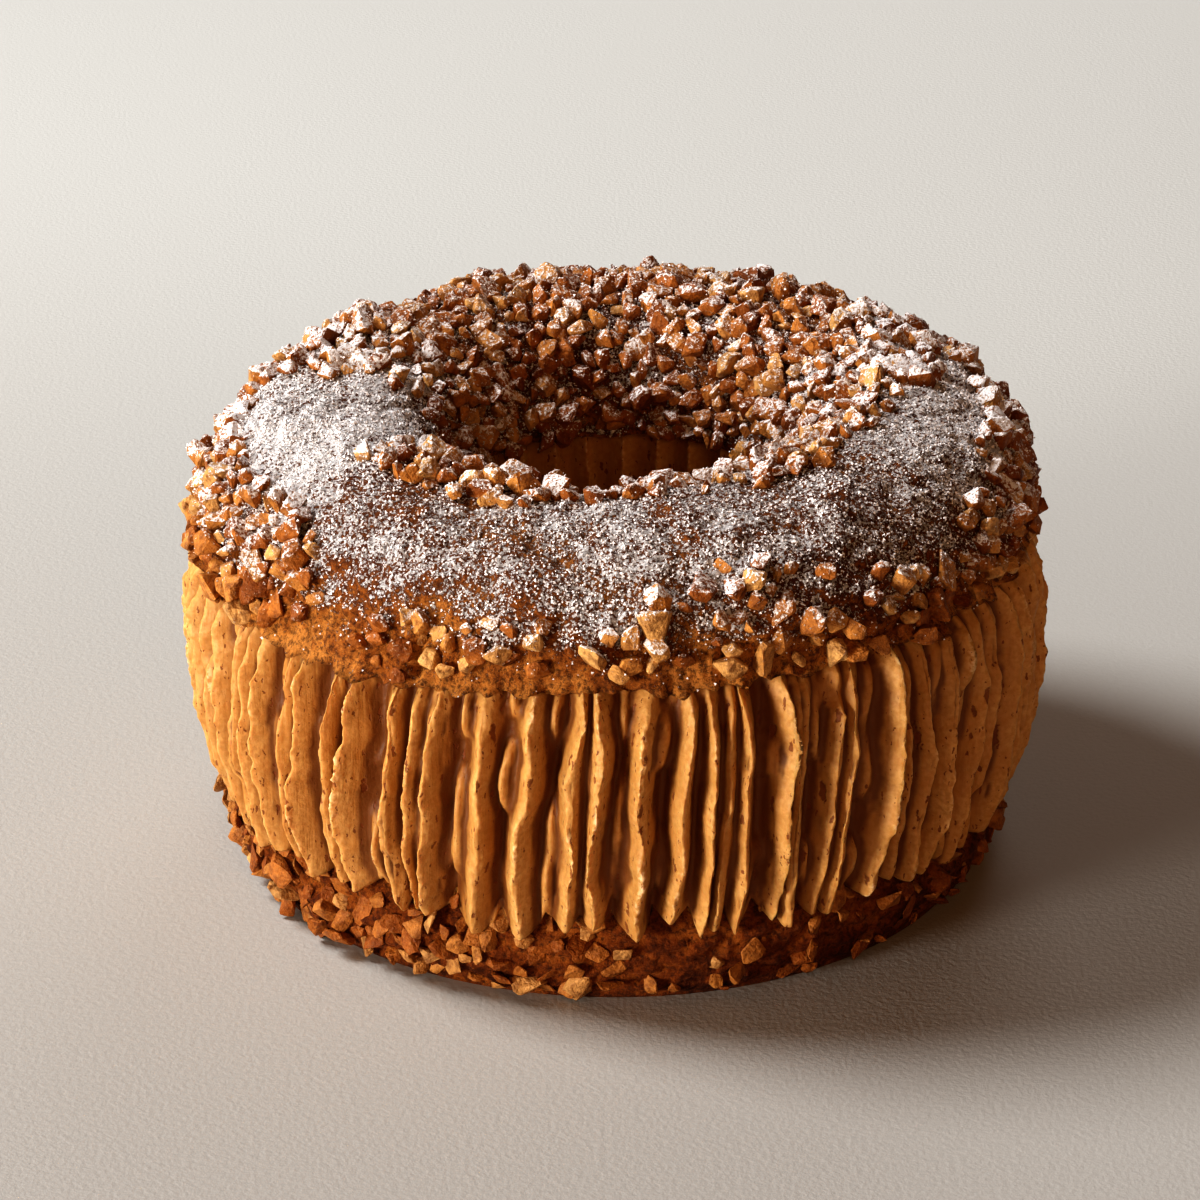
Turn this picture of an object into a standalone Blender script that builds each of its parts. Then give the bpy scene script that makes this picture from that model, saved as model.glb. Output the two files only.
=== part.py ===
"""Paris-Brest: a baked choux ring, split in two, with ribbed praline cream piped between the halves.

Metres, +Z up. The origin is on the table, under the middle of the ring's hole.
"""

import math
import random

import bmesh
import bpy

# Driving dimensions, in metres
RING_MID = 0.0318  # radius of the ring's middle line, halfway between hole and rim
HOLE_RADIUS = 0.0175
BASE_RADIUS = 0.0446
CREAM_RADIUS = 0.0500  # to the crests of the ribs where they are fullest
LID_RADIUS = 0.0462
BASE_HEIGHT = 0.0120
CREAM_TOP = 0.0387  # under the lid, at the middle of the ring's hole
LID_HEIGHT = 0.0168  # over the bits of nut that cover its top
GAP = 0.0003  # between two pieces that rest on each other
LID_TILT = math.radians(1.0)  # the lid sits a little higher on the +X side

# Crusts: how many steps round the ring, and how lumpy the baked skin is
CRUST_STEPS = 56
CRUST_LUMP = 0.0012
CRUST_LUMP_SIZE = 0.016

# Cream: piped with a star nozzle, whose ribs run up the outside in close pairs with wide valleys between
RIBS = 86
NARROW_GAPS = (0.0014, 0.0030)  # from crest to crest, before all are stretched to close the ring
WIDE_GAPS = (0.0039, 0.0056)
WIDE_SHARE = 0.42
RIB_DEPTH = 0.0036
DEEPEST_GAP = 0.0036  # a valley narrower than this is shallower too
HOLE_RIBS = 29
HOLE_RIB_DEPTH = 0.0013
RIB_DROOP = 0.0017  # how far a rib's foot hangs over the base
RIB_SEED = 11


def clear_scene():
    for obj in list(bpy.data.objects):
        bpy.data.objects.remove(obj, do_unlink=True)


def collection_of(name):
    found = bpy.data.collections.new(name)
    bpy.context.scene.collection.children.link(found)
    return found


def finish_of(name, colour, roughness):
    material = bpy.data.materials.new(name)
    material.use_nodes = True
    shader = material.node_tree.nodes["Principled BSDF"]
    shader.inputs["Base Color"].default_value = (*colour, 1.0)
    shader.inputs["Roughness"].default_value = roughness
    shader.inputs["Metallic"].default_value = 0.0
    return material


# ---------------------------------------------------------------- the two crusts


def side_of_base(foot, shoulder, belly, steps):
    """(radius, height) up one side of the base, which swells by belly halfway up."""
    rows = []
    for i in range(steps + 1):
        share = i / steps
        radius = foot + (shoulder - foot) * share + belly * math.sin(math.pi * share)
        rows.append((radius, BASE_HEIGHT * share))
    return rows


def base_profile():
    """The base's section: a flat foot, round sides and the flat cut that the cream lies on."""
    outer = side_of_base(0.0420, 0.0425, BASE_RADIUS - 0.04225, 6)
    inner = side_of_base(0.0196, 0.0192, HOLE_RADIUS - 0.0194, 4)
    return outer[::-1] + inner


def lid_profile(steps=14, squareness=2.3):
    """The lid's section: a flat cut underneath and a dome over it."""
    rows = []
    for i in range(steps + 1):
        angle = math.pi * i / steps
        across, up = math.cos(angle), math.sin(angle)
        reach = LID_RADIUS - RING_MID if across > 0 else RING_MID - HOLE_RADIUS
        radius = RING_MID + math.copysign(reach * abs(across) ** (2 / squareness), across)
        rows.append((radius, LID_HEIGHT * max(up, 0.0) ** (2 / squareness)))
    return rows[::-1]


def turned_crust(name, profile, flat_heights, collection, material):
    """A section turned about +Z with Screw, whose skin is made lumpy while its cut faces stay flat."""
    mesh = bpy.data.meshes.new(name)
    count = len(profile)
    edges = [(i, (i + 1) % count) for i in range(count)]
    mesh.from_pydata([(radius, 0.0, height) for radius, height in profile], edges, [])
    obj = bpy.data.objects.new(name, mesh)
    collection.objects.link(obj)
    mesh.materials.append(material)

    skin = obj.vertex_groups.new(name="skin")
    for index, (radius, height) in enumerate(profile):
        if all(abs(height - flat) > 1e-6 for flat in flat_heights):
            skin.add([index], 1.0, "REPLACE")

    screw = obj.modifiers.new("Turn", "SCREW")
    screw.angle = 2 * math.pi
    screw.steps = screw.render_steps = CRUST_STEPS
    screw.use_merge_vertices = True
    screw.merge_threshold = 0.00001
    screw.use_smooth_shade = True

    lumps = bpy.data.textures.new(name + "_lumps", "CLOUDS")
    lumps.noise_scale = CRUST_LUMP_SIZE
    lumps.noise_depth = 1
    swell = obj.modifiers.new("Lumps", "DISPLACE")
    swell.texture = lumps
    swell.texture_coords = "LOCAL"
    swell.strength = CRUST_LUMP
    swell.mid_level = 0.5
    swell.vertex_group = "skin"
    return obj


# ---------------------------------------------------------------- the cream


def ribs_round():
    """(turn in radians, height share, lean in radians, gap to the next in metres) of each rib round the ring."""
    dice = random.Random(RIB_SEED)
    gaps = []
    for _ in range(RIBS):
        wide = dice.random() < WIDE_SHARE
        gaps.append(dice.uniform(*(WIDE_GAPS if wide else NARROW_GAPS)))
    stretch = 2 * math.pi * CREAM_RADIUS / sum(gaps)
    ribs = []
    turn = 0.0
    lean = 0.0
    for gap in gaps:
        lean = 0.5 * lean + math.radians(dice.uniform(-1.4, 2.4))
        ribs.append((turn, dice.uniform(0.74, 1.0), lean, gap * stretch))
        turn += gap * stretch / CREAM_RADIUS
    return ribs


def sides_of(gap):
    """How many sections are lofted from one crest to the next: more where the valley is wide."""
    if gap < 0.0027:
        return 2
    return 3 if gap < 0.0046 else 4


def cream_section(ridge, lean, turn, hole_ridge):
    """The closed row of points round the cream at one turn, from the outer foot over the top to the hole."""
    slope = math.tan(LID_TILT)
    outer_steps, inner_steps = 7, 3
    points = []
    for i in range(outer_steps + 1):
        share = i / outer_steps
        belly = 1 - abs(2 * share - 1) ** 3.2
        crest = CREAM_RADIUS - 0.0037 * (1 - belly)
        depth = RIB_DEPTH * (0.45 + 0.55 * belly)
        radius = crest - depth * (1 - ridge)
        at = turn + lean * (share - 0.5)
        x, y = radius * math.cos(at), radius * math.sin(at)
        top = CREAM_TOP + slope * x
        foot = BASE_HEIGHT + GAP - RIB_DROOP * ridge * (1 - share) ** 4
        points.append((x, y, foot + (top - BASE_HEIGHT - GAP) * share))
    for i in range(inner_steps + 1):
        share = 1 - i / inner_steps
        belly = math.sin(math.pi * share)
        radius = HOLE_RADIUS + 0.0016 - 0.0012 * belly + HOLE_RIB_DEPTH * (1 - hole_ridge)
        x, y = radius * math.cos(turn), radius * math.sin(turn)
        top = CREAM_TOP + slope * x
        points.append((x, y, BASE_HEIGHT + GAP + (top - BASE_HEIGHT - GAP) * share))
    tuck = 0.0440  # the foot of the ribs turns in under itself here, on top of the base
    points.append((tuck * math.cos(turn), tuck * math.sin(turn), BASE_HEIGHT + GAP))
    return points


def piped_cream(name, collection, material):
    """Sections lofted round the ring, one on each crest and the rest down the valley beside it."""
    ribs = ribs_round()
    sections = []
    for index, (turn, height, lean, gap) in enumerate(ribs):
        after_turn, after_height, after_lean, _ = ribs[(index + 1) % len(ribs)]
        if index == len(ribs) - 1:
            after_turn += 2 * math.pi
        sides = sides_of(gap)
        deep = min(max(gap / DEEPEST_GAP, 0.42), 1.0) ** 0.8
        for side in range(sides):
            share = side / sides
            crest = height + (after_height - height) * share
            ridge = crest * (1 - deep * math.sin(math.pi * share))
            at = turn + (after_turn - turn) * share
            hole_ridge = 1 - abs(math.sin(at * HOLE_RIBS / 2))
            leaning = lean + (after_lean - lean) * share
            sections.append(cream_section(ridge, leaning, at, hole_ridge))

    shape = bmesh.new()
    rows = [[shape.verts.new(point) for point in section] for section in sections]
    count = len(rows[0])
    for here, after in zip(rows, rows[1:] + rows[:1]):
        for i in range(count):
            j = (i + 1) % count
            shape.faces.new((here[i], after[i], after[j], here[j]))
    bmesh.ops.recalc_face_normals(shape, faces=shape.faces)
    mesh = bpy.data.meshes.new(name)
    shape.to_mesh(mesh)
    shape.free()
    mesh.materials.append(material)
    obj = bpy.data.objects.new(name, mesh)
    collection.objects.link(obj)
    mesh.shade_smooth()
    mesh.set_sharp_from_angle(angle=math.radians(50))
    return obj


# ---------------------------------------------------------------- the pastry

clear_scene()
pastry = collection_of("paris_brest")
baked = finish_of("baked_choux", (0.42, 0.17, 0.05), 0.75)
praline = finish_of("praline_cream", (0.62, 0.36, 0.16), 0.55)

turned_crust("choux_base", base_profile(), (0.0, BASE_HEIGHT), pastry, baked)
piped_cream("praline_cream", pastry, praline)
lid = turned_crust("choux_lid", lid_profile(), (0.0,), pastry, baked)
lid.location = (0.0, 0.0, CREAM_TOP + GAP)
lid.rotation_euler = (0.0, -LID_TILT, 0.0)
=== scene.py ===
"""The looks of a paris-brest: baked choux crusts, ribbed praline cream, chopped nuts and icing sugar.

Metres, +Z up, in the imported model's own frame. -Y faces the viewer.
"""

import itertools
import math
import random

import bmesh
import bpy
import numpy as np
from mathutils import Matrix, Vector


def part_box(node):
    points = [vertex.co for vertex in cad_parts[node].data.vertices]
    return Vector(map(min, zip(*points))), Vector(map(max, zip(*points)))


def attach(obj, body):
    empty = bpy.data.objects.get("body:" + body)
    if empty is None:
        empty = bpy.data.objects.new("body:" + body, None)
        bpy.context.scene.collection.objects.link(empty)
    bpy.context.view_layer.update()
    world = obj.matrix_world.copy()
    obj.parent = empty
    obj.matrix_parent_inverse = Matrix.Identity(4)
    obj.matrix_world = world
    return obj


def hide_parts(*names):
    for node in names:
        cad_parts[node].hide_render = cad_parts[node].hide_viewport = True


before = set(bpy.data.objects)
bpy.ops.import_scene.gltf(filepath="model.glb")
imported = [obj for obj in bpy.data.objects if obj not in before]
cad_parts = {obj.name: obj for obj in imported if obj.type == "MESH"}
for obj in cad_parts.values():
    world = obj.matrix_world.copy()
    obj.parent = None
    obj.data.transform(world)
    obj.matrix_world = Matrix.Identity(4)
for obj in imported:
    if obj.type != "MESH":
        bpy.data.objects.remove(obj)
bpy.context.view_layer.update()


# ---- Base crust
# The lower half of the choux ring: piped choux paste, baked hard and cut level across the top.
# Its foot is flat from the baking sheet, and its skin is brown, dry and finely wrinkled.

MM = 0.001
base_low, base_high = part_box("choux_base")
ring_middle = 31.8 * MM
hole_radius = 17.5 * MM
base_radius = (base_high.x - base_low.x) / 2
base_top = base_high.z


def grain(points, size, seed):
    """Smooth noise, about -1 to 1, whose lumps are about size across."""
    at = points / size + seed * 7.31
    cell = np.floor(at).astype(np.int64)
    inside = at - cell
    ease = inside**3 * (inside * (inside * 6 - 15) + 10)
    total = np.zeros(points.shape[:-1])
    for corner in itertools.product((0, 1), repeat=3):
        where = cell + corner
        mixed = where[..., 0] * 374761393 + where[..., 1] * 668265263 + where[..., 2] * 1440662683
        mixed = (mixed + seed * 974634777) & 0xFFFFFFFF
        mixed = ((mixed ^ (mixed >> 13)) * 1274126177) & 0xFFFFFFFF
        mixed = mixed ^ (mixed >> 16)
        away = inside - corner
        dot = sum(((mixed >> (10 * k)) & 1023) / 511.5 * away[..., k] - away[..., k] for k in range(3))
        share = np.prod(np.where(corner, ease, 1 - ease), axis=-1)
        total += dot * share
    return total * 1.5


def evenly(outline, count):
    """A closed outline of (radius, height) points, spaced again at even steps along it."""
    outline = np.asarray(outline, float)
    closed = np.vstack([outline, outline[:1]])
    along = np.concatenate([[0], np.cumsum(np.linalg.norm(np.diff(closed, axis=0), axis=1))])
    steps = np.linspace(0, along[-1], count, endpoint=False)
    return np.stack([np.interp(steps, along, closed[:, k]) for k in range(2)], axis=1)


def turned(section, turns):
    """The grid of points made by carrying a section round the ring."""
    radius, height = section[:, 0], section[:, 1]
    return np.stack(
        [
            np.cos(turns)[:, None] * radius,
            np.sin(turns)[:, None] * radius,
            np.broadcast_to(height, (len(turns), len(height))),
        ],
        axis=-1,
    )


def facing(points):
    """The outward direction at each point of a grid that closes both ways."""
    around = np.roll(points, -1, 0) - np.roll(points, 1, 0)
    across = np.roll(points, -1, 1) - np.roll(points, 1, 1)
    out = np.cross(around, across)
    return out / np.maximum(np.linalg.norm(out, axis=-1, keepdims=True), 1e-12)


def ring_mesh(name, points, values):
    """A smooth closed mesh from such a grid, with each of the named values kept at its points."""
    rounds, rows = points.shape[:2]
    index = np.arange(rounds * rows).reshape(rounds, rows)
    right, up = np.roll(index, -1, 0), np.roll(index, -1, 1)
    corner = np.roll(right, -1, 1)
    quads = np.stack([index, right, corner, up], axis=-1).reshape(-1, 4)
    mesh = bpy.data.meshes.new(name)
    mesh.vertices.add(rounds * rows)
    mesh.vertices.foreach_set("co", points.astype(np.float32).ravel())
    mesh.loops.add(quads.size)
    mesh.loops.foreach_set("vertex_index", quads.astype(np.int32).ravel())
    mesh.polygons.add(len(quads))
    mesh.polygons.foreach_set("loop_start", np.arange(0, quads.size, 4, dtype=np.int32))
    mesh.update(calc_edges=True)
    mesh.shade_smooth()
    for key, value in values.items():
        kept = mesh.attributes.new(key, "FLOAT", "POINT")
        kept.data.foreach_set("value", np.broadcast_to(value, (rounds, rows)).astype(np.float32).ravel())
    obj = bpy.data.objects.new(name, mesh)
    bpy.context.scene.collection.objects.link(obj)
    return obj


def node(tree, kind, inputs=None, **settings):
    """A shader node with its settings and inputs: an input is a value, or another node's output."""
    made = tree.nodes.new("ShaderNode" + kind)
    for key, value in settings.items():
        setattr(made, key, value)
    for key, value in (inputs or {}).items():
        if isinstance(value, bpy.types.NodeSocket):
            tree.links.new(value, made.inputs[key])
        else:
            made.inputs[key].default_value = value
    return made


def maths(tree, operation, *values):
    """The result of a Math node on those values."""
    made = tree.nodes.new("ShaderNodeMath")
    made.operation = operation
    for socket, value in zip(made.inputs, values):
        if isinstance(value, bpy.types.NodeSocket):
            tree.links.new(value, socket)
        else:
            socket.default_value = value
    return made.outputs[0]


def blend_of(tree, share, first, second, blend="MIX"):
    """The colour between first and second, at that share."""
    made = tree.nodes.new("ShaderNodeMix")
    made.data_type, made.blend_type = "RGBA", blend
    for socket, value in zip((made.inputs[0], made.inputs[6], made.inputs[7]), (share, first, second)):
        if isinstance(value, bpy.types.NodeSocket):
            tree.links.new(value, socket)
        else:
            socket.default_value = value
    return made.outputs[2]


def stretch(tree, value, low, high, to_low=0.0, to_high=1.0):
    """value moved from the range low to high into another, and kept inside it."""
    made = tree.nodes.new("ShaderNodeMapRange")
    made.interpolation_type = "SMOOTHSTEP"
    for socket, number in zip(made.inputs, (value, low, high, to_low, to_high)):
        if isinstance(number, bpy.types.NodeSocket):
            tree.links.new(number, socket)
        else:
            socket.default_value = number
    return made.outputs[0]


def finish(name, roughness):
    """A new material, its tree, its shader and the place of each point in the object's own metres."""
    material = bpy.data.materials.new(name)
    material.use_nodes = True
    tree = material.node_tree
    shader = tree.nodes["Principled BSDF"]
    shader.inputs["Roughness"].default_value = roughness
    place = node(tree, "TexCoord").outputs["Object"]
    return material, tree, shader, place


def cloud(tree, place, size, detail=3.0, roughness=0.55):
    """Noise from 0 to 1 with lumps of about size."""
    inputs = {"Vector": place, "Scale": 1 / size, "Detail": detail, "Roughness": roughness}
    return node(tree, "TexNoise", inputs).outputs[0]


def around_middle(tree, noise, much):
    """Noise moved to lie about zero, and much times as strong."""
    return maths(tree, "MULTIPLY", maths(tree, "SUBTRACT", noise, 0.5), much)


def choux_finish(name, pale, golden, dark):
    """Baked choux: pale where it split late, golden on the swell, dark brown in creases and open crumb."""
    material, tree, shader, place = finish(name, 0.62)
    baked = node(tree, "Attribute", attribute_name="baked").outputs["Fac"]
    patches = cloud(tree, place, 9 * MM, 4.0)
    fibres = cloud(tree, place, 1.0 * MM, 6.0, 0.78)
    pores = cloud(tree, place, 0.60 * MM, 5.0, 0.72)
    share = maths(tree, "ADD", baked, around_middle(tree, patches, 1.1))
    share = maths(tree, "ADD", share, around_middle(tree, fibres, 1.9))
    warm = blend_of(tree, stretch(tree, share, 0.05, 0.6), pale, golden)
    brown = blend_of(tree, stretch(tree, share, 0.5, 1.1), warm, dark)
    holes = blend_of(tree, stretch(tree, pores, 0.36, 0.54, 0.8, 0.0), brown, (0.050, 0.012, 0.003, 1))
    tint = blend_of(tree, stretch(tree, pores, 0.56, 0.70, 0.0, 0.6), holes, pale)
    tree.links.new(tint, shader.inputs["Base Color"])
    height = maths(tree, "MULTIPLY", fibres, 0.9)
    height = maths(tree, "ADD", height, maths(tree, "MULTIPLY", pores, 0.5))
    bump = node(tree, "Bump", {"Height": height, "Strength": 1.0, "Distance": 0.8 * MM})
    tree.links.new(bump.outputs[0], shader.inputs["Normal"])
    rough = stretch(tree, fibres, 0.3, 0.7, 0.5, 0.8)
    tree.links.new(rough, shader.inputs["Roughness"])
    shader.inputs["Specular IOR Level"].default_value = 0.2
    return material


def base_outline():
    """Up the outside, which swells halfway, across the level cut, down the hole and across the foot."""
    rise = np.linspace(0, 1, 40)
    outer = 42.0 * MM + 0.5 * MM * rise + (base_radius - 42.25 * MM) * np.sin(math.pi * rise)
    inner = 19.6 * MM - 0.4 * MM * rise - (19.4 * MM - hole_radius) * np.sin(math.pi * rise)
    up = np.stack([outer, base_top * rise], axis=1)
    down = np.stack([inner, base_top * rise], axis=1)[::-1]
    return np.vstack([up, down])


base_turns = np.linspace(0, 2 * math.pi, 900, endpoint=False)
base_points = turned(evenly(base_outline(), 150), base_turns)
base_height = base_points[..., 2] / base_top
base_skin = np.clip(np.minimum(base_height, 1 - base_height) * 6, 0, 1)
base_wrinkle = (
    0.55 * grain(base_points, 7 * MM, 1)
    + 0.45 * grain(base_points * (1, 1, 2.6), 3.2 * MM, 2)
    - 0.55 * np.clip(1 - 2.6 * np.abs(grain(base_points * (1, 1, 2.2), 4.5 * MM, 5)), 0, 1) ** 2
    + 0.26 * grain(base_points, 1.1 * MM, 3)
    + 0.12 * grain(base_points, 0.5 * MM, 4)
)
base_points = base_points + facing(base_points) * (base_skin * base_wrinkle * MM)[..., None]
base_points[..., 2] = np.maximum(base_points[..., 2], 0)
base = ring_mesh(
    "base_crust",
    base_points,
    {"baked": np.clip(0.62 + 0.5 * base_wrinkle - 0.25 * (base_height - 0.5), 0, 1.2)},
)
base.data.materials.append(
    choux_finish("choux_base", (0.44, 0.142, 0.020, 1), (0.24, 0.057, 0.006, 1), (0.065, 0.012, 0.002, 1))
)
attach(base, "root")
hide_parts("choux_base")


# ---- Praline cream
# Buttercream with ground nuts, piped upward in overlapping strokes with a star nozzle.
# Each stroke leaves three sharp ribs, torn a little along their crests, and its feet hang over the base.

rib_count = 86
rib_depth = 4.9 * MM
belly_swell = 3.7 * MM
tuck_under_lid = 1.7 * MM
deepest_gap = 3.6 * MM
hole_ribs = 29
hole_rib_depth = 1.3 * MM
cream_radius = 50.0 * MM
cream_top = 38.7 * MM
cream_foot = 12.3 * MM
hole_swell = 2.2 * MM
lid_slope = math.tan(math.radians(1.0))


def rib_layout():
    """The turn, height share and lean of each rib: pairs and threes, with wide valleys between them."""
    dice = random.Random(11)
    gaps = []
    for _ in range(rib_count):
        wide = dice.random() < 0.42
        gaps.append(dice.uniform(3.9, 5.6) if wide else dice.uniform(1.4, 3.0))
    total = sum(gaps)
    ribs = []
    turn = 0.0
    lean = 0.0
    for gap in gaps:
        lean = 0.5 * lean + math.radians(dice.uniform(-1.4, 2.4))
        ribs.append((turn, dice.uniform(0.74, 1.0), lean))
        turn += 2 * math.pi * gap / total
    return ribs


def along_rib(rib, rise, size, seed):
    """Noise that runs along each rib by itself, from its number and the distance up it."""
    return grain(np.stack([rib * 3.7 * size, rise, rib * 0.0], axis=-1), size, seed)


def cream_outside(ribs, rib, share, turn, gap, rise):
    """The ribbed outer wall as a grid of points, with how far each stands out of its valley."""
    far_rib = (rib + 1) % rib_count
    up = rise * (cream_top - cream_foot)
    share = np.broadcast_to(share[:, None], up.shape)
    gap = np.broadcast_to(gap[:, None], up.shape)

    def of_rib(which):
        """That rib's height, its wander sideways, its bluntness, and its foot's droop and point."""
        number = which[:, None] * np.ones_like(up)
        level = 0 * up
        high = ribs[which, 1][:, None] * (
            1 + 0.13 * along_rib(number, up, 7 * MM, 21) + 0.09 * along_rib(number, up, 2.2 * MM, 22)
        )
        torn_out = np.clip(along_rib(number, up, 4 * MM, 23) - 0.5, 0, 1)
        wander = (
            1.05 * along_rib(number, up, 11 * MM, 25)
            + 0.42 * along_rib(number, up, 3.4 * MM, 26)
            + 0.16 * along_rib(number, up, 1.5 * MM, 39)
        )
        swell = np.clip(along_rib(number, up, 5 * MM, 37) + 0.1, 0, 1) ** 1.2
        blunt = (0.42 + 0.95 * swell) * MM
        hang = 3.1 + 2.0 * along_rib(number * 2.3, level, 3 * MM, 27)
        pointed = np.clip(0.25 + 1.6 * along_rib(number * 1.9, level, 3 * MM, 24), 0, 1)
        return high - 0.6 * torn_out, wander * MM, blunt, hang * MM, pointed

    near, far = of_rib(rib), of_rib(far_rib)
    ease = share * share * (3 - 2 * share)

    def between(which):
        return near[which] * (1 - ease) + far[which] * ease

    # The wall between two crests is a smooth scoop, and the crest itself is a blunt blade
    blunt = between(2) / np.maximum(gap, 0.5 * MM)
    side = np.minimum(share, 1 - share)
    off_crest = np.sqrt(side**2 + blunt**2) - blunt * 0.55
    scoop = np.sin(math.pi * np.clip(off_crest, 0, 0.5)) ** 1.15
    deep = np.clip(gap / deepest_gap, 0.42, 1.0) ** 0.8
    crest_high = between(0)
    ridge = np.clip(crest_high - deep * scoop * crest_high, 0, 1.1)

    # Slivers of cream run up the middle of the wider valleys and fade out
    valley = rib[:, None] * np.ones_like(up)
    middle = 0.5 + 0.16 * along_rib(valley, up, 9 * MM, 28)
    there = np.clip(along_rib(valley * 1.3, up, 8 * MM, 29) + 0.12, 0, 1) * np.clip(gap / MM - 2.6, 0, 1)
    sliver = there**0.7 * np.exp(-(((share - middle) * gap / (0.62 * MM)) ** 2)) * 3.8 * MM

    belly = 1 - np.abs(2 * rise - 1) ** 3.2
    stroke = np.floor(valley / 3)
    radius = cream_radius - 0.2 * MM - belly_swell * (1 - belly)
    radius = radius + 0.3 * MM * along_rib(stroke, up, 14 * MM, 30)
    radius = radius - rib_depth * (0.5 + 0.5 * belly) * (1 - ridge) + sliver
    radius = radius + 0.5 * MM * np.clip(1 - rise * 9, 0, 1) * ridge
    radius = radius - tuck_under_lid * np.clip(rise * 8 - 7, 0, 1) ** 1.5

    near_crest = np.clip(1 - 2 * share, 0, 1) ** 0.8
    far_crest = np.clip(2 * share - 1, 0, 1) ** 0.8
    room = np.clip(gap / (3.4 * MM), 0.3, 1.15)
    sideways = (near_crest * near[1] + far_crest * far[1]) * room
    lean = ribs[rib, 2][:, None] * (1 - share) + ribs[far_rib, 2][:, None] * share
    at = turn[:, None] + lean * (rise - 0.5) + sideways / radius

    # Fine marks: streaks dragged along the stroke, soft dents, and a torn edge on each crest
    spot = np.stack([at * cream_radius, up, radius], axis=-1)
    edge = np.clip(ridge, 0, 1) ** 4
    fine = (
        0.19 * grain(spot * (1, 0.09, 1), 0.6 * MM, 31)
        + 0.42 * grain(spot * (1, 0.16, 1), 1.6 * MM, 40) * np.clip(1.2 - ridge, 0, 1)
        + 0.16 * grain(spot * (1, 0.5, 1), 2.0 * MM, 38)
        + 0.07 * grain(spot, 0.8 * MM, 32)
        + 0.24 * grain(spot, 0.45 * MM, 33) * edge
    )
    radius = radius + fine * MM
    at = at + 0.30 * MM * grain(spot, 0.5 * MM, 34) * edge / radius

    # The foot of each rib hangs over the base, as a tongue or a point
    toward_near = np.clip(1 - 2 * share, 0, 1)
    toward_far = np.clip(2 * share - 1, 0, 1)

    def tongue(toward, rib_values):
        rounded = np.sqrt(np.clip(1 - (1 - toward) ** 2.6, 0, 1))
        return rib_values[3] * (rounded * (1 - rib_values[4]) + toward**1.3 * rib_values[4])

    hang = tongue(toward_near, near) + tongue(toward_far, far)
    x, y = radius * np.cos(at), radius * np.sin(at)
    top = cream_top + lid_slope * x
    foot = cream_foot + 0.6 * MM
    height = foot + (top - foot) * rise - (hang + 0.2 * MM) * (1 - rise) ** 4
    return np.stack([x, y, height], axis=-1), np.clip(np.maximum(ridge, sliver / (3 * MM)), 0, 1)


def piped_cream():
    """The whole cream: the outer wall, its tuck under the feet, and the plainer wall of the hole."""
    ribs = np.array(rib_layout())
    rib, share, turn, gap = [], [], [], []
    for number in range(rib_count):
        ahead = ribs[(number + 1) % rib_count, 0] + (2 * math.pi if number == rib_count - 1 else 0)
        wide = ahead - ribs[number, 0]
        steps = int(round(7 + wide * cream_radius / (0.34 * MM)))
        even = np.arange(steps) / steps
        gathered = even - 0.60 * np.sin(2 * math.pi * even) / (2 * math.pi)
        rib.append(np.full(steps, number))
        share.append(gathered)
        turn.append(ribs[number, 0] + wide * gathered)
        gap.append(np.full(steps, wide * cream_radius))
    rib, share, turn, gap = (np.concatenate(part) for part in (rib, share, turn, gap))
    rise = np.linspace(0, 1, 112)[None, :] * np.ones((len(turn), 1))
    outside, ridge = cream_outside(ribs, rib, share, turn, gap, rise)

    def ring_row(radius, height):
        x, y = radius * np.cos(turn), radius * np.sin(turn)
        return np.stack([x, y, height + lid_slope * x * (height > cream_foot)], axis=-1)[:, None, :]

    # Under the feet the cream turns in, first a rounded lip and then the flat that rests on the base
    lip = outside[:, :1]
    reach = np.linalg.norm(lip[..., :2], axis=-1, keepdims=True)
    tuck = []
    for inward, lower in ((0.30, 0.26), (0.8, 0.34), (1.5, 0.12)):
        near = np.maximum(reach - inward * MM, 43.9 * MM)
        height = np.maximum(lip[..., 2:] - lower * MM, 8.4 * MM)
        tuck.append(np.concatenate([lip[..., :2] / reach * near, height], axis=-1))
    tuck += [ring_row(43.2 * MM, cream_foot), ring_row(30.0 * MM, cream_foot)]

    hole_rise = np.linspace(0, 1, 16)[None, :] * np.ones((len(turn), 1))
    round_wall = turn[:, None] * np.ones_like(hole_rise)
    wall = np.stack([round_wall * 20 * MM, hole_rise * 26 * MM, 0 * hole_rise], axis=-1)
    hole_rib = 1 - np.abs(np.sin(round_wall * hole_ribs / 2 + 0.35 * grain(wall, 6 * MM, 35)))
    radius = hole_radius + 1.6 * MM - 1.2 * MM * np.sin(math.pi * hole_rise)
    radius = radius + hole_rib_depth * (1 - hole_rib)
    x, y = radius * np.cos(round_wall), radius * np.sin(round_wall)
    roof = cream_top + hole_swell + lid_slope * x
    inside = np.stack([x, y, cream_foot + (roof - cream_foot) * hole_rise], axis=-1)

    # From the foot of the outer wall up, over, down the hole and back underneath
    over = [ring_row(reach, cream_top) for reach in (43.0 * MM, 30.0 * MM, 23.0 * MM)]
    points = np.concatenate([outside, *over, inside[:, ::-1], *tuck[::-1]], axis=1)
    kept = np.zeros(points.shape[:2])
    kept[:, : outside.shape[1]] = ridge
    kept[:, -3:] = ridge[:, :1]
    span = slice(outside.shape[1] + len(over), outside.shape[1] + len(over) + inside.shape[1])
    # Painted light: the hole's wall gets a raised ridge value, so it is painted paler inside the hole.
    kept[:, span] = 0.35 + 0.6 * hole_rib[:, ::-1]
    return points, kept


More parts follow.
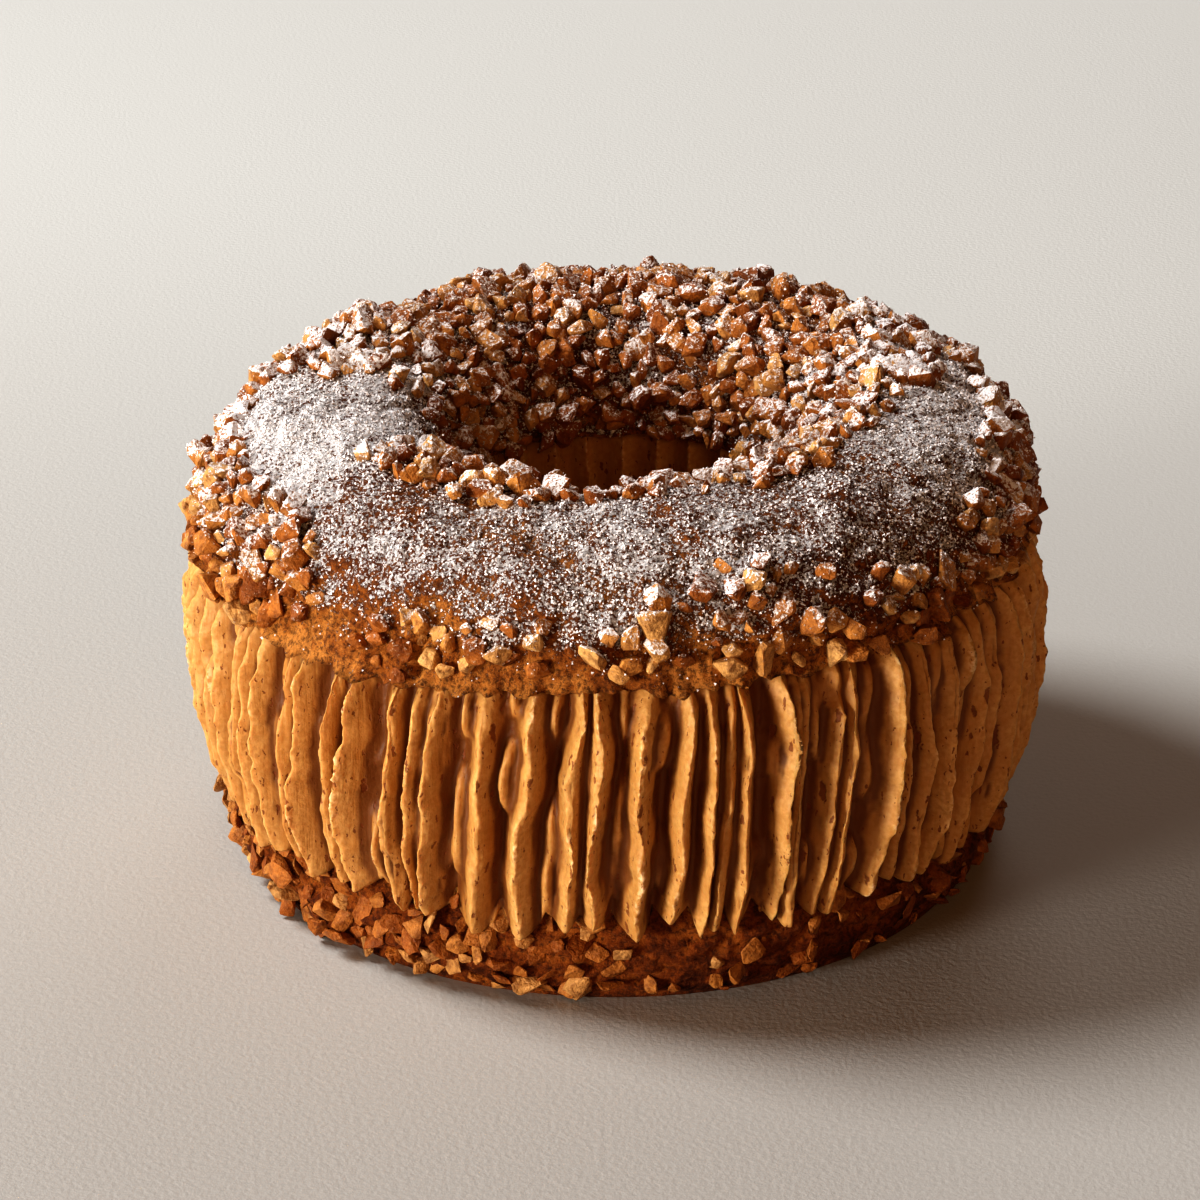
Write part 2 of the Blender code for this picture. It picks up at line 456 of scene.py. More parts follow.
def creased(points):
    """How far each point lies in below its neighbours round the ring, about 1 in a deep crease, where the
    cream is painted darker as painted shade.
    """
    reach = np.hypot(points[..., 0], points[..., 1])
    wide = sum(np.roll(reach, step, 0) for step in range(-5, 6)) / 11
    narrow = sum(np.roll(reach, step, 0) for step in range(-2, 3)) / 5
    deep = np.maximum((wide - reach) / (0.60 * MM), (narrow - reach) / (0.22 * MM))
    return np.clip(deep, 0, 1) * (reach > 42.0 * MM)


def cream_finish():
    """Caramel-brown cream: darker in the valleys than on the crests and darkest in the deep creases, as
    painted shade, with painted highlights as pale flecks on the crests, streaked along the strokes, flecked
    with nut skin.
    """
    material, tree, shader, place = finish("praline_cream", 0.52)
    ridge = node(tree, "Attribute", attribute_name="ridge").outputs["Fac"]
    mottle = cloud(tree, place, 5 * MM, 3.0)
    fine = cloud(tree, place, 0.6 * MM, 3.0)
    tall = node(tree, "Mapping", {"Vector": place, "Scale": (1, 1, 0.42)}).outputs[0]
    drawn = node(tree, "Mapping", {"Vector": place, "Scale": (1, 1, 0.07)}).outputs[0]
    streaks = cloud(tree, drawn, 0.8 * MM, 2.0)
    patchy = stretch(tree, mottle, 0.3, 0.7)
    # Painted shade: the valleys take a darker colour than the crests, by the ridge value.
    valley = blend_of(tree, patchy, (0.34, 0.142, 0.030, 1), (0.44, 0.202, 0.049, 1))
    valley = blend_of(tree, stretch(tree, streaks, 0.45, 0.7, 0.0, 0.5), valley, (0.22, 0.078, 0.016, 1))
    grained = stretch(tree, fine, 0.3, 0.7)
    crest = blend_of(tree, grained, (0.53, 0.280, 0.088, 1), (0.67, 0.400, 0.150, 1))
    crest = blend_of(tree, stretch(tree, mottle, 0.35, 0.7, 0.0, 0.5), crest, (0.46, 0.220, 0.058, 1))
    colour = blend_of(tree, stretch(tree, ridge, 0.05, 0.85), valley, crest)
    # Painted shade: the deep creases between the ribs are painted a near black-brown.
    crease = node(tree, "Attribute", attribute_name="crease").outputs["Fac"]
    colour = blend_of(tree, stretch(tree, crease, 0.1, 0.9, 0.0, 0.82), colour, (0.13, 0.038, 0.007, 1))
    # Painted highlight: pale flecks laid along the rib crests.
    grainy = stretch(tree, fine, 0.45, 0.62, 0.0, 0.75)
    crystals_and_crest_highlight = maths(tree, "MULTIPLY", stretch(tree, ridge, 0.80, 0.98), grainy)
    colour = blend_of(tree, crystals_and_crest_highlight, colour, (0.84, 0.64, 0.40, 1))
    warp = node(tree, "TexNoise", {"Vector": place, "Scale": 1 / (0.8 * MM), "Detail": 3.0})
    bent = node(
        tree,
        "VectorMath",
        {0: warp.outputs["Color"], 1: (0.9 * MM, 0.9 * MM, 0.9 * MM), 2: tall},
        operation="MULTIPLY_ADD",
    ).outputs[0]
    flecks = 0.0
    for size, limit, often in ((0.8 * MM, 0.36, 0.76), (1.7 * MM, 0.28, 0.72), (0.36 * MM, 0.40, 0.76)):
        cells = node(tree, "TexVoronoi", {"Vector": bent, "Scale": 1 / size, "Randomness": 1.0})
        chance = node(tree, "SeparateColor", {"Color": cells.outputs["Color"]})
        reach = maths(tree, "MULTIPLY", chance.outputs[1], limit)
        spot = stretch(tree, maths(tree, "SUBTRACT", reach, cells.outputs["Distance"]), -0.03, 0.05)
        picked = maths(tree, "GREATER_THAN", chance.outputs[0], often)
        flecks = maths(tree, "MAXIMUM", flecks, maths(tree, "MULTIPLY", spot, picked))
    skin = blend_of(tree, fine, (0.13, 0.030, 0.008, 1), (0.26, 0.080, 0.018, 1))
    colour = blend_of(tree, maths(tree, "MULTIPLY", flecks, 0.85), colour, skin)
    tree.links.new(colour, shader.inputs["Base Color"])
    height = maths(tree, "MULTIPLY", fine, 0.6)
    height = maths(tree, "SUBTRACT", height, maths(tree, "MULTIPLY", flecks, 0.9))
    height = maths(tree, "ADD", height, maths(tree, "MULTIPLY", streaks, 0.8))
    bump = node(tree, "Bump", {"Height": height, "Strength": 0.6, "Distance": 0.28 * MM})
    tree.links.new(bump.outputs[0], shader.inputs["Normal"])
    shader.inputs["Specular IOR Level"].default_value = 0.25
    shader.inputs["Subsurface Weight"].default_value = 0.22
    shader.inputs["Subsurface Radius"].default_value = (1.0, 0.45, 0.18)
    shader.inputs["Subsurface Scale"].default_value = 1.3 * MM
    return material


cream_points, cream_ridge = piped_cream()
cream_values = {"ridge": cream_ridge, "crease": creased(cream_points)}
cream = ring_mesh("praline_ribs", cream_points, cream_values)
cream.data.materials.append(cream_finish())
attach(cream, "root")
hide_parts("praline_cream")


# ---- Lid crust
# The upper half of the choux ring: a hollow dome with a rough cut rim, set on the cream a little askew.
# Its skin is lumpy where the paste rose unevenly, split and darker at the rim and round the hole.

lid_radius = 46.2 * MM
lid_height = 15.3 * MM
lid_seat = Vector((0, 0, cream_top + 0.3 * MM))
lid_squareness = 2.3


def lid_outline():
    """Round the dome from the outer rim to the hole, and back under it along the cut."""
    angle = np.linspace(0, math.pi, 200)
    across, up = np.cos(angle), np.sin(angle)
    reach = np.where(across > 0, lid_radius - ring_middle, ring_middle - hole_radius)
    radius = ring_middle + np.sign(across) * reach * np.abs(across) ** (2 / lid_squareness)
    return np.stack([radius, lid_height * np.maximum(up, 0) ** (2 / lid_squareness)], axis=1)


def arched(points):
    """How far the lid's underside is lifted at the hole, over the cream that swells up there."""
    radius = np.hypot(points[..., 0], points[..., 1])
    near_hole = np.clip((23.5 * MM - radius) / (4.5 * MM), 0, 1)
    low_down = np.clip(1 - points[..., 2] / (7 * MM), 0, 1)
    level = points * (1, 1, 0)
    uneven = 1.9 + 0.9 * grain(level, 7 * MM, 62) + 0.5 * grain(level, 2.5 * MM, 63)
    lift = uneven * MM * near_hole**0.7 * low_down
    return np.stack([0 * lift, 0 * lift, lift], axis=-1)


def seated(points):
    """Points of the lid, made level, tilted and set on the cream."""
    moved = points.copy()
    moved[..., 2] = points[..., 2] + lid_seat.z + lid_slope * points[..., 0]
    return moved


def degrees_off(turn, middle):
    """How many degrees round the ring a turn is from a middle."""
    return np.abs((np.degrees(turn) - middle + 180) % 360 - 180)


def patch(turn, height_angle, middle, width, low, high):
    """1 inside a patch of the ring and 0 outside, softly.

    The patch has its middle and width in degrees round the ring, and runs from low to high up the dome.
    """
    round_share = np.clip((width - degrees_off(turn, middle)) / 9 + 0.5, 0, 1)
    above = np.clip((height_angle - low) / 12 + 0.5, 0, 1)
    below = np.clip((high - height_angle) / 12 + 0.5, 0, 1)
    return round_share * (above * below)


def lid_place(points):
    """Turn from the viewer's side, and angle over the dome: 0 at the rim, 90 on top, 180 in the hole."""
    turn = np.arctan2(points[..., 0], -points[..., 1])
    radius = np.hypot(points[..., 0], points[..., 1])
    reach = np.where(radius > ring_middle, lid_radius - ring_middle, ring_middle - hole_radius)
    out = (radius - ring_middle) / reach
    return turn, np.degrees(np.arctan2(np.maximum(points[..., 2], 0) / lid_height, out))


def nut_cover(points):
    """How thickly chopped nuts lie on the lid, 0 to 1."""
    turn, dome = lid_place(points)
    ragged = 10 * grain(points, 9 * MM, 41)
    dome = dome + ragged
    turn = turn + np.radians(8) * grain(points, 11 * MM, 42)
    cover = 0 * dome
    for middle, width, low, high, share in (
        (180, 66, 32, 178, 1.0),
        (-122, 24, 60, 172, 0.9),
        (118, 30, 84, 174, 1.0),
        (75, 22, 96, 150, 0.8),
        (50, 16, 96, 128, 0.9),
        (-34, 16, 84, 128, 0.75),
        (0, 26, 100, 122, 0.45),
        (-72, 24, 2, 44, 1.0),
        (-104, 20, 8, 50, 0.8),
        (-150, 36, 4, 60, 0.85),
        (-20, 12, 5, 22, 0.35),
        (8, 30, 6, 24, 0.13),
        (17, 4, 26, 40, 1.0),
        (50, 16, 4, 30, 0.4),
        (72, 14, 10, 40, 0.6),
        (105, 30, 4, 48, 0.8),
        (145, 24, 2, 45, 0.8),
    ):
        cover = np.maximum(cover, share * patch(turn, dome, middle, width, low, high))
    return cover


def sugar_cover(points, up):
    """How thickly the sugar lies, 0 to 1, where up is how far the surface faces the sky."""
    turn, dome = lid_place(points)
    cover = 0.66 + 0.14 * grain(points, 12 * MM, 43) + 0.17 * grain(points, 4 * MM, 44)
    cover += 0.20 * patch(turn, dome, -88, 34, 46, 128)
    cover += 0.16 * patch(turn, dome, 92, 34, 36, 92)
    cover -= 0.12 * patch(turn, dome, -44, 26, 0, 42)
    cover -= 0.05 * patch(turn, dome, 0, 50, 30, 110)
    cover -= 0.10 * patch(turn, dome, 180, 70, 30, 180)
    cover *= np.clip((up + 0.15) / 0.55, 0, 1) * np.clip((dome - 3) / 15, 0.12, 1)
    return np.clip(cover, 0, 1)


def rim_drop(turn):
    """How far the cut rim hangs at each turn from the viewer's side, as a share of its usual droop."""
    drop = 0 * turn
    droops = ((-44, 20, 1.5), (-22, 10, 0.7), (18, 30, 0.35), (60, 18, -0.4), (150, 40, 0.6))
    for middle, width, much in droops:
        drop = drop + much * np.exp(-((degrees_off(turn, middle) / width) ** 2))
    return drop


lid_turns = np.linspace(0, 2 * math.pi, 1000, endpoint=False)
lid_flat = turned(evenly(lid_outline(), 160), lid_turns)
lid_skin = np.clip(lid_flat[..., 2] / (1.2 * MM), 0, 1)
outer_half = np.hypot(lid_flat[..., 0], lid_flat[..., 1]) > ring_middle
rim_share = np.exp(-lid_flat[..., 2] / (1.8 * MM)) * outer_half
crease = 1 - np.abs(grain(lid_flat, 5.5 * MM, 53)) * 2.2
lid_wrinkle = (
    1.0 * grain(lid_flat, 15 * MM, 51)
    + 0.65 * grain(lid_flat, 6.5 * MM, 52)
    - 0.45 * np.clip(crease, 0, 1) ** 4
    + 0.40 * grain(lid_flat, 2.4 * MM, 54)
    + 0.34 * grain(lid_flat, 1.1 * MM, 55)
    + 0.22 * grain(lid_flat, 0.6 * MM, 59)
)
lid_level = lid_flat + facing(lid_flat) * (lid_skin * lid_wrinkle * MM)[..., None]
lid_turn = np.arctan2(lid_flat[..., 0], -lid_flat[..., 1])
lid_level[..., 2] *= 1 - 0.14 * np.exp(-((lid_turn / math.radians(75)) ** 2))
round_only = lid_flat * (1, 1, 0)
rim_wave = (
    0.8 * grain(round_only, 13 * MM, 56)
    + 0.8 * grain(round_only, 3.5 * MM, 57)
    + 0.9 * grain(round_only, 1.3 * MM, 60)
)
flakes = np.clip(1.4 * grain(round_only, 2.2 * MM, 64) + 0.3, 0, 1)
rim_lip = np.exp(-lid_flat[..., 2] / (0.6 * MM)) * outer_half * (0.4 + 1.3 * flakes)
lid_level[..., :2] *= 1 + ((rim_share * (rim_wave + 0.15) + rim_lip) * MM / lid_radius)[..., None]
rim_hang = (
    0.5
    + rim_drop(lid_turn)
    + 0.6 * grain(round_only, 6 * MM, 58)
    + 0.9 * grain(round_only, 1.9 * MM, 61)
)
lid_level[..., 2] -= rim_share * rim_hang * MM
lid_level = lid_level + arched(lid_flat)
lid_points = seated(lid_level)
lid_up = facing(lid_points)[..., 2]
lid_baked = 0.52 + 0.42 * lid_wrinkle - 0.30 * rim_share + 0.12 * np.clip(0.4 - lid_up, 0, 1)
lid = ring_mesh(
    "lid_crust",
    lid_points,
    {"baked": np.clip(lid_baked, 0, 1.2), "sugar": sugar_cover(lid_flat, lid_up)},
)


def add_sugar(tree, shader, place, bare, cover, dust, shadow, edge, relief):
    """Lays icing sugar over a finish: white clumps of about 0.4 mm, more of them where the cover is high.

    dust is how much the bare patches are whitened, shadow how dark they are between the clumps, edge how
    soft the clumps are and relief how far they stand up.
    """
    clumps = cloud(tree, place, 0.40 * MM, 4.0, 0.72)
    drifts = cloud(tree, place, 2.2 * MM, 3.0, 0.6)
    wish = maths(tree, "ADD", cover, around_middle(tree, drifts, 0.7))
    needed = stretch(tree, wish, 0.0, 1.1, 0.69, 0.41)
    lies = maths(tree, "SUBTRACT", clumps, needed)
    mask = stretch(tree, lies, -0.3 * edge, 0.7 * edge)
    between = stretch(tree, wish, 0.25, 0.65, 0.0, 0.58 * shadow)
    deep = blend_of(tree, between, bare, (0.10, 0.026, 0.006, 1))
    beside = stretch(tree, lies, -0.16, -0.02, 0.0, 0.75 * shadow)
    shaded = blend_of(tree, beside, deep, (0.075, 0.017, 0.004, 1))
    crystals_and_crest_highlight = cloud(tree, place, 0.25 * MM, 1.0)
    white = blend_of(tree, crystals_and_crest_highlight, (0.84, 0.815, 0.83, 1), (0.97, 0.955, 0.965, 1))
    dusted = blend_of(tree, stretch(tree, lies, -0.08, 0.01, 0.0, dust), shaded, white)
    tree.links.new(blend_of(tree, mask, dusted, white), shader.inputs["Base Color"])
    old_bump = shader.inputs["Normal"].links[0].from_node
    heaped = stretch(tree, lies, -0.02, 0.12)
    under = old_bump.outputs[0]
    heap_height = 0.34 * MM
    bump = node(
        tree, "Bump", {"Height": heaped, "Strength": relief, "Distance": heap_height, "Normal": under}
    )
    tree.links.new(bump.outputs[0], shader.inputs["Normal"])


def sugared_choux():
    """The lid's baked choux under its film of icing sugar."""
    pale, golden, dark = (0.64, 0.275, 0.062, 1), (0.40, 0.130, 0.019, 1), (0.12, 0.027, 0.004, 1)
    material = choux_finish("choux_lid", pale, golden, dark)
    tree = material.node_tree
    shader = tree.nodes["Principled BSDF"]
    bare = shader.inputs["Base Color"].links[0].from_socket
    place = node(tree, "TexCoord").outputs["Object"]
    cover = node(tree, "Attribute", attribute_name="sugar").outputs["Fac"]
    add_sugar(tree, shader, place, bare, cover, 0.06, 1.0, 0.02, 0.75)
    return material


lid.data.materials.append(sugared_choux())
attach(lid, "root")
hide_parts("choux_lid")


# ---- Chopped nuts
# Almonds and hazelnuts chopped to 2 to 4 mm, pressed into the raw choux before baking.
# Each bit keeps one or two flat knife cuts, pale inside, and the rest is brown from the oven.


def in_order(shape):
    """The points and triangles of a small convex shape, put in the same order at every run."""
    shape.verts.index_update()
    points = np.array([v.co for v in shape.verts])
    order = np.lexsort(np.round(points, 4).T)
    number = np.argsort(order)
    faces = []
    for face in shape.faces:
        around = [int(number[v.index]) for v in face.verts]
        first = around.index(min(around))
        around = around[first:] + around[:first]
        faces += [(around[0], around[k], around[k + 1]) for k in range(1, len(around) - 1)]
    return points[order], np.array(sorted(faces))


def nut_forms(count, corners, flatness, seed):
    """A few chopped bits, each (points, triangles): flat cut faces between worn edges."""
    dice = np.random.default_rng(seed)
    forms = []
    for _ in range(count):
        length, width = dice.uniform(0.85, 1.2), dice.uniform(0.65, 0.95)
        thick = flatness * dice.uniform(0.8, 1.2)
        tips = []
        for _ in range(corners):
            way = dice.normal(size=3)
            way /= np.max(np.abs(way)) ** 0.7 * np.linalg.norm(way) ** 0.3
            tips.append(way * (length, width, thick) * dice.uniform(0.85, 1.0))
        shape = bmesh.new()
        for tip in tips:
            shape.verts.new(tip)
        bmesh.ops.convex_hull(shape, input=shape.verts)
        loose = [v for v in shape.verts if not v.link_faces]
        bmesh.ops.delete(shape, geom=loose, context="VERTS")
        skin_points, skin_faces = in_order(shape)
        shape.free()
        shape = bmesh.new()
        verts = [shape.verts.new(point) for point in skin_points]
        for around in skin_faces:
            shape.faces.new([verts[k] for k in around])
        shape.normal_update()
        flat_enough = math.radians(16)
        bmesh.ops.dissolve_limit(
            shape, angle_limit=flat_enough, verts=shape.verts, edges=shape.edges
        )
        bmesh.ops.bevel(
            shape, geom=shape.edges[:], offset=0.10, segments=1, affect="EDGES", clamp_overlap=True
        )
        shape.normal_update()
        points, faces = in_order(shape)
        points = points + 0.16 * np.stack([grain(points, 0.6, seed + k) for k in range(3)], axis=-1)
        forms.append((points, faces))
        shape.free()
    return forms


def scattered(name, forms, spots, ups, sizes, spin, values, tilt=0.5):
    """One mesh of many bits: each form in turn, at its spot, its short side along the surface's up."""
    dice = np.random.default_rng(spin)
    all_points, all_faces, start = [], [], 0
    kept = {key: [] for key in [*values, "tint"]}
    for number, (spot, up, size) in enumerate(zip(spots, ups, sizes)):
        points, faces = forms[number % len(forms)]
        up = up + dice.normal(size=3) * tilt * 0.5
        up = up / np.linalg.norm(up)
        side = np.cross(up, dice.normal(size=3))
        side /= np.linalg.norm(side)
        turn = np.stack([side, np.cross(up, side), up])
        all_points.append(points @ turn * size + spot)
        all_faces.append(faces + start)
        for key, value in values.items():
            kept[key].append(np.full(len(points), value[number]))
        kept["tint"].append(np.full(len(points), dice.uniform(0, 1)))
        start += len(points)
    points, faces = np.concatenate(all_points), np.concatenate(all_faces)
    mesh = bpy.data.meshes.new(name)
    mesh.vertices.add(len(points))
    mesh.vertices.foreach_set("co", points.astype(np.float32).ravel())
    mesh.loops.add(faces.size)
    mesh.loops.foreach_set("vertex_index", faces.astype(np.int32).ravel())
    mesh.polygons.add(len(faces))
    mesh.polygons.foreach_set("loop_start", np.arange(0, faces.size, 3, dtype=np.int32))
    mesh.update(calc_edges=True)
    mesh.shade_smooth()
    mesh.set_sharp_from_angle(angle=math.radians(28))
    for key, value in kept.items():
        held = mesh.attributes.new(key, "FLOAT", "POINT")
        held.data.foreach_set("value", np.concatenate(value).astype(np.float32))
    obj = bpy.data.objects.new(name, mesh)
    bpy.context.scene.collection.objects.link(obj)
    return obj


def dropped(points, chance, spacing, wanted, seed):
    """Picks places among points, likelier where chance is high, none nearer another than spacing."""
    dice = np.random.default_rng(seed)
    order = dice.permutation(len(points))[: wanted * 40]
    luck = dice.uniform(size=len(order))
    cells, chosen = {}, []
    for which, roll in zip(order, luck):
        if roll > chance[which]:
            continue
        spot = points[which]
        key = tuple(np.floor(spot / spacing).astype(int))
        near = (
            other
            for step in itertools.product((-1, 0, 1), repeat=3)
            for other in cells.get((key[0] + step[0], key[1] + step[1], key[2] + step[2]), ())
        )
        if any(np.sum((spot - points[other]) ** 2) < spacing**2 for other in near):
            continue
        cells.setdefault(key, []).append(which)
        chosen.append(which)
        if len(chosen) >= wanted:
            break
    return np.array(chosen)


def nut_finish(name, sugared, roast):
    """Roasted nut: each bit its own brown, paler on its cut faces, sugared where it faces up."""
    material, tree, shader, place = finish(name, 0.48)
    tint = node(tree, "Attribute", attribute_name="tint").outputs["Fac"]
    mottle = cloud(tree, place, 1.2 * MM, 4.0, 0.65)
    fine = cloud(tree, place, 0.4 * MM, 3.0)
    ramp = node(tree, "ValToRGB", {"Fac": tint})
    steps = ramp.color_ramp.elements
    steps[0].position, steps[0].color = 0.0, (0.27, 0.084, 0.014, 1)
    steps[1].position, steps[1].color = 1.0, (0.77, 0.47, 0.185, 1)
    for place_on, shade in ((0.30, (0.45, 0.162, 0.030, 1)), (0.72, (0.61, 0.290, 0.076, 1))):
        steps.new(place_on).color = shade
    roasted = blend_of(tree, roast, ramp.outputs[0], (0.26, 0.070, 0.009, 1))
    scorched = stretch(tree, mottle, 0.34, 0.73, 0.0, 0.75)
    toasted = blend_of(tree, scorched, roasted, (0.11, 0.024, 0.004, 1))
    colour = blend_of(tree, stretch(tree, fine, 0.5, 0.8, 0.0, 0.4), toasted, (0.56, 0.30, 0.100, 1))
    tree.links.new(colour, shader.inputs["Base Color"])
    height = maths(tree, "ADD", fine, maths(tree, "MULTIPLY", mottle, 1.4))
    bump = node(tree, "Bump", {"Height": height, "Strength": 0.9, "Distance": 0.3 * MM})
    tree.links.new(bump.outputs[0], shader.inputs["Normal"])
    shader.inputs["Specular IOR Level"].default_value = 0.2
    if sugared:
        way = node(tree, "NewGeometry").outputs["Normal"]
        up = node(tree, "SeparateXYZ", {"Vector": way}).outputs[2]
        cover = node(tree, "Attribute", attribute_name="sugar").outputs["Fac"]
        lying = maths(tree, "MULTIPLY", cover, stretch(tree, up, -0.15, 0.70))
        add_sugar(tree, shader, place, colour, lying, 0.25, 0.2, 0.09, 0.15)
    return material


lid_spots = lid_points.reshape(-1, 3)
lid_ways = facing(lid_points).reshape(-1, 3)
lid_nut_chance = (nut_cover(lid_flat) * (lid_flat[..., 2] > 0.4 * MM)).reshape(-1)
lid_picks = dropped(lid_spots, lid_nut_chance, 1.6 * MM, 1500, 61)
dice = np.random.default_rng(62)
lid_sizes = np.clip(dice.lognormal(0.0, 0.24, len(lid_picks)), 0.6, 1.6) * 1.36 * MM
lid_nut_spots = lid_spots[lid_picks] + lid_ways[lid_picks] * lid_sizes[:, None] * 0.42
lid_sugar = sugar_cover(lid_flat, np.ones(lid_flat.shape[:2])).reshape(-1)[lid_picks]
lid_nuts = scattered(
    "lid_nuts",
    nut_forms(14, 13, 0.75, 63),
    lid_nut_spots,
    lid_ways[lid_picks],
    lid_sizes,
    64,
    {"sugar": lid_sugar * 1.1},
    1.1,
)
lid_nuts.data.materials.append(nut_finish("sugared_nut", True, 0.0))
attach(lid_nuts, "root")

base_spots = base_points.reshape(-1, 3)
base_ways = facing(base_points).reshape(-1, 3)
base_turn = np.arctan2(base_spots[:, 0], -base_spots[:, 1])
outer_side = (np.hypot(base_spots[:, 0], base_spots[:, 1]) > 42.4 * MM) & (base_spots[:, 2] > 0.9 * MM)
base_cover = np.full(len(base_spots), 0.10)
nutty_stretches = ((-50, 44, 1.0), (-105, 20, 0.8), (20, 30, 0.10), (70, 26, 0.22), (150, 60, 0.5))
for middle, width, share in nutty_stretches:
    inside = np.clip((width - degrees_off(base_turn, middle)) / 12 + 0.5, 0, 1)
    base_cover = np.maximum(base_cover, share * inside)
base_picks = dropped(base_spots, base_cover * outer_side, 1.75 * MM, 520, 65)
base_sizes = np.clip(dice.lognormal(0.0, 0.22, len(base_picks)), 0.7, 1.5) * 1.55 * MM
base_nut_spots = base_spots[base_picks] + base_ways[base_picks] * base_sizes[:, None] * 0.25
base_nut_spots[:, 2] = np.maximum(base_nut_spots[:, 2], base_sizes * 0.95)
base_nuts = scattered(
    "base_nuts",
    nut_forms(12, 11, 0.42, 66),
    base_nut_spots,
    base_ways[base_picks],
    base_sizes,
    67,
    {},
    0.9,
)
base_nuts.data.materials.append(nut_finish("bare_nut", False, 0.32))
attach(base_nuts, "root")


# ---- Icing sugar
# Powdered sugar sifted over the finished lid. Most of it lies as a film of the lid's own finish,
# and these are the grains that stand up from it on the crust and on the nuts.

def sifted(spots, ways, chance, count, drift, seed):
    """Places for that many grains over a surface, more where the chance is higher, nudged by the drift."""
    dice = np.random.default_rng(seed)
    share = np.clip(chance, 0, None)
    picks = dice.choice(len(spots), count, p=share / share.sum())
    nudge = dice.normal(size=(count, 3)) * drift
    off_surface = np.sum(nudge * ways[picks], axis=1, keepdims=True)
    return spots[picks] + nudge - ways[picks] * off_surface, ways[picks]


def faces_of(obj):
    """The middle, outward way and area of each face of an object's mesh."""
    count = len(obj.data.polygons)
    middles, ways, areas = np.empty(count * 3), np.empty(count * 3), np.empty(count)
    obj.data.polygons.foreach_get("center", middles)
    obj.data.polygons.foreach_get("normal", ways)
    obj.data.polygons.foreach_get("area", areas)
    return middles.reshape(-1, 3), ways.reshape(-1, 3), areas


crust_chance = (sugar_cover(lid_flat, lid_up) * np.hypot(lid_flat[..., 0], lid_flat[..., 1])).reshape(-1)
on_crust = sifted(lid_spots, lid_ways, crust_chance**1.3, 40000, 0.16 * MM, 71)
nut_middles, nut_ways, nut_areas = faces_of(lid_nuts)
unseated = nut_middles - (0, 0, lid_seat.z)
nut_chance = sugar_cover(unseated, nut_ways[:, 2]) * nut_areas
on_nuts = sifted(nut_middles, nut_ways, nut_chance, 8000, 0.22 * MM, 73)
sugar_spots = np.concatenate([on_crust[0], on_nuts[0]])
sugar_ways = np.concatenate([on_crust[1], on_nuts[1]])
dice = np.random.default_rng(74)
grain_sizes = np.clip(dice.lognormal(0.0, 0.3, len(sugar_spots)), 0.5, 1.7) * 0.105 * MM
crumb = (
    np.array([(1, 1, 1), (1, -1, -1), (-1, 1, -1), (-1, -1, 1)], float) * 0.75,
    np.array([(0, 1, 2), (0, 3, 1), (0, 2, 3), (1, 3, 2)]),
)
sugar = scattered(
    "icing_sugar",
    [crumb],
    sugar_spots + sugar_ways * 0.06 * MM,
    sugar_ways,
    grain_sizes,
    72,
    {},
    4.0,
)
sugar_material, tree, shader, place = finish("icing_sugar", 0.6)
drift = cloud(tree, place, 0.5 * MM, 1.0)
shade = blend_of(tree, drift, (0.84, 0.815, 0.825, 1), (0.97, 0.96, 0.965, 1))
tree.links.new(shade, shader.inputs["Base Color"])
sugar.data.materials.append(sugar_material)
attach(sugar, "root")


# ---- Table, light and camera
# A pale matt table top, a large soft light high on the left and a low one beside it, a weak light
# from behind, and a warm fill from the front. The camera looks down on the front by 24 degrees.

bpy.ops.mesh.primitive_plane_add(size=6.0, location=(0, 0, 0))
table = bpy.context.object
table.name = "table"
table_material, tree, shader, place = finish("pale_table", 0.75)
speck = cloud(tree, place, 0.7 * MM, 2.0, 0.6)
speck_tone_and_painted_light = blend_of(tree, speck, (0.385, 0.380, 0.365, 1), (0.44, 0.435, 0.42, 1))
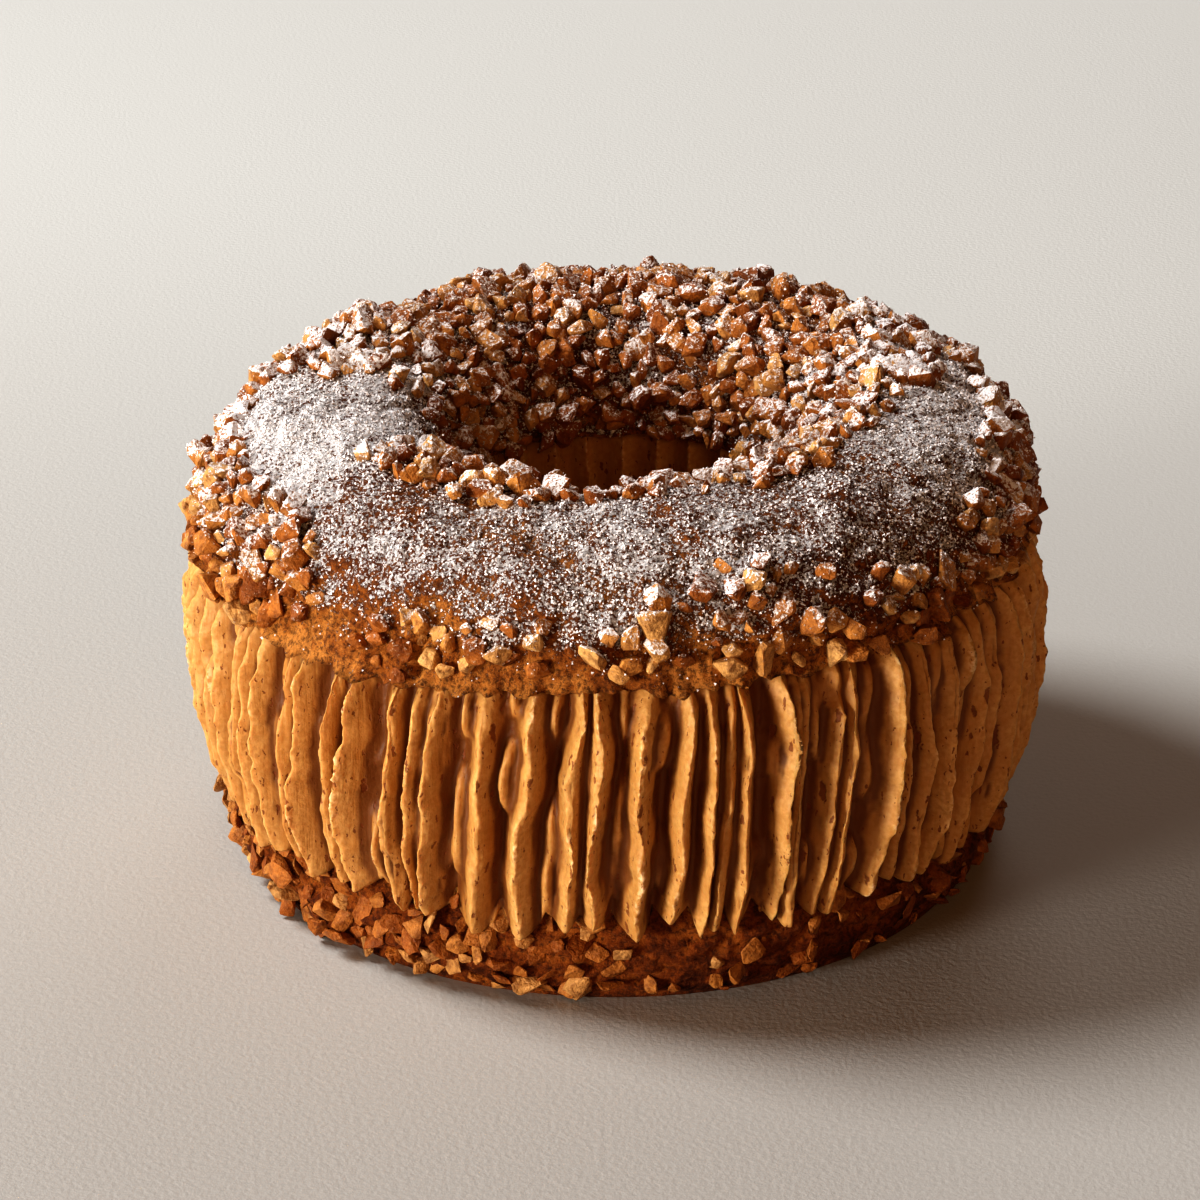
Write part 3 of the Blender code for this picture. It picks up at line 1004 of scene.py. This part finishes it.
# Painted light: over its speckle, the table is painted paler towards the back and the right, as a painted
# pool of the lamps' light.
spread = node(tree, "SeparateXYZ", {"Vector": place}).outputs
away = maths(tree, "ADD", spread[1], maths(tree, "MULTIPLY", spread[0], 0.4))
speck_tone_and_painted_light = blend_of(tree, stretch(tree, away, -0.10, 0.24), speck_tone_and_painted_light, (0.56, 0.575, 0.565, 1))
tree.links.new(speck_tone_and_painted_light, shader.inputs["Base Color"])
bump = node(tree, "Bump", {"Height": speck, "Strength": 0.32, "Distance": 0.22 * MM})
tree.links.new(bump.outputs[0], shader.inputs["Normal"])
table.data.materials.append(table_material)


def soft_light(name, position, size, power, colour):
    """A round area light that faces the middle of the pastry."""
    lamp = bpy.data.lights.new(name, "AREA")
    lamp.shape = "DISK"
    lamp.size = size
    lamp.energy = power
    lamp.color = colour
    holder = bpy.data.objects.new(name, lamp)
    holder.location = position
    holder.rotation_euler = (Vector((0, 0, 0.03)) - Vector(position)).to_track_quat("-Z", "Y").to_euler()
    bpy.context.scene.collection.objects.link(holder)


soft_light("window", (-0.83, 0.175, 0.95), 0.52, 15.0, (1.0, 0.995, 0.98))
soft_light("low_side", (-0.77, -0.60, 0.11), 0.28, 9.0, (1.0, 0.955, 0.89))
soft_light("behind", (0.20, 0.80, 0.45), 0.50, 1.3, (1.0, 0.99, 0.97))
soft_light("warm_fill", (0.10, -0.93, 0.36), 0.50, 1.5, (1.0, 0.56, 0.26))
world = bpy.data.worlds.new("room")
world.use_nodes = True
world.node_tree.nodes["Background"].inputs[0].default_value = (1.0, 0.42, 0.16, 1)
world.node_tree.nodes["Background"].inputs[1].default_value = 0.07
bpy.context.scene.world = world

camera_data = bpy.data.cameras.new("camera")
camera_data.sensor_width = 36.0
camera_data.lens = 106.4
camera_data.clip_start = 0.01
camera = bpy.data.objects.new("camera", camera_data)
look_at = Vector((-1.6, 0, 27.5)) * MM
elevation = math.radians(24.3)
distance = 405 * MM
camera.location = look_at + distance * Vector((0, -math.cos(elevation), math.sin(elevation)))
camera.rotation_euler = (look_at - camera.location).to_track_quat("-Z", "Y").to_euler()
bpy.context.scene.collection.objects.link(camera)
bpy.context.scene.camera = camera
bpy.context.scene.view_settings.view_transform = "Standard"
bpy.context.scene.view_settings.look = "High Contrast"
